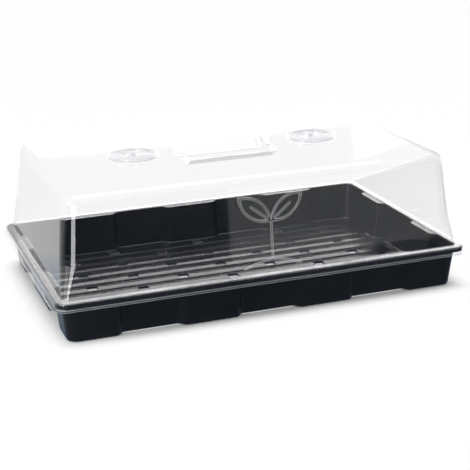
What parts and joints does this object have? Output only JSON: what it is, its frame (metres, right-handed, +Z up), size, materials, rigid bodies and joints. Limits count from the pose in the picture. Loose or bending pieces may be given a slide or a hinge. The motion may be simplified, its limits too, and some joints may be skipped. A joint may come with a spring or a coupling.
{
  "type": "humidity dome tray",
  "caption": "Long black seed tray with stepped walls and a ridged, slotted floor, under a clear lift-off dome with a moulded grip and rotary vents.",
  "frame": {"origin": "centre of the footprint, on the surface the tray stands on", "axes": "+X along the tray's length, +Y to the back, +Z up"},
  "size_m": [0.6, 0.39, 0.2062],
  "materials": {
    "black_sheet": "vacuum-formed black polystyrene, satin outside, faint grain",
    "clear_sheet": "vacuum-formed clear sheet, glossy",
    "vent_plastic": "injection-moulded clear plastic, glossy"
  },
  "bodies": {
    "tray": {"seed_tray": "black_sheet"},
    "lid": {"dome": "clear_sheet", "vent_rivet_left": "vent_plastic", "vent_rivet_right": "vent_plastic"},
    "dial_left": {"vent_dial_left": "vent_plastic"},
    "dial_right": {"vent_dial_right": "vent_plastic"}
  },
  "joints": [
    {"name": "dome_lift", "type": "slide", "parent": "tray", "child": "lid", "axis": [0, 0, 1], "range_m": [0, 0.25]},
    {"name": "vent_left_turn", "type": "hinge", "parent": "lid", "child": "dial_left", "pos_m": [-0.136, 0, 0.1965], "axis": [0, 0, 1], "range_deg": [0, 90]},
    {"name": "vent_right_turn", "type": "hinge", "parent": "lid", "child": "dial_right", "pos_m": [0.136, 0, 0.1965], "axis": [0, 0, 1], "range_deg": [0, 90]}
  ]
}
